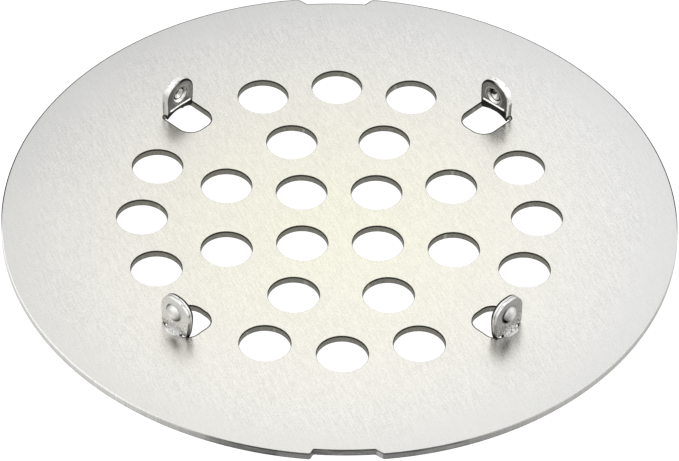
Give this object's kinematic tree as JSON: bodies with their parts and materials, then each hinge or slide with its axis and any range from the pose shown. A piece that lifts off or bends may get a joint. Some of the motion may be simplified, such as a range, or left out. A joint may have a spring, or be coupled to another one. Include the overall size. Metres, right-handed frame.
{
  "type": "floor drain grate",
  "caption": "Round stamped floor drain grate with rings of round holes, two rim pry notches and upright dimpled snap tabs that grip the drain throat.",
  "frame": {"origin": "centre of the disc on its finished face, at the lowest point of the part", "axes": "+Z out of the underside towards the tips of the snap tabs (the part lies on its finished face, tabs up; turn it 180 degrees about X to fit it in a drain), +Y to the rear pry notch, +X to the right, square to the line between the two notches"},
  "size_m": [0.108, 0.107, 0.0077],
  "materials": {
    "stainless_sheet": "satin brushed, straight grain",
    "stainless_tab": "satin brushed faces with bright sheared edges"
  },
  "bodies": {
    "plate": {"cover_plate": "stainless_sheet"},
    "tab_rear_right": {"snap_tab_rear_right": "stainless_tab"},
    "tab_rear_left": {"snap_tab_rear_left": "stainless_tab"},
    "tab_front_left": {"snap_tab_front_left": "stainless_tab"},
    "tab_front_right": {"snap_tab_front_right": "stainless_tab"}
  },
  "joints": [
    {"name": "rear_right_tab_flex", "type": "hinge", "parent": "plate", "child": "tab_rear_right", "pos_m": [0.02627, 0.02627, 0.00014], "axis": [0.7071, -0.7071, 0], "range_deg": [0, 3], "stiffness_Nm_per_rad": 40},
    {"name": "rear_left_tab_flex", "type": "hinge", "parent": "plate", "child": "tab_rear_left", "pos_m": [-0.02627, 0.02627, 0.00014], "axis": [0.7071, 0.7071, 0], "range_deg": [0, 3], "stiffness_Nm_per_rad": 40},
    {"name": "front_left_tab_flex", "type": "hinge", "parent": "plate", "child": "tab_front_left", "pos_m": [-0.02627, -0.02627, 0.00014], "axis": [-0.7071, 0.7071, 0], "range_deg": [0, 3], "stiffness_Nm_per_rad": 40},
    {"name": "front_right_tab_flex", "type": "hinge", "parent": "plate", "child": "tab_front_right", "pos_m": [0.02627, -0.02627, 0.00014], "axis": [-0.7071, -0.7071, 0], "range_deg": [0, 3], "stiffness_Nm_per_rad": 40}
  ]
}
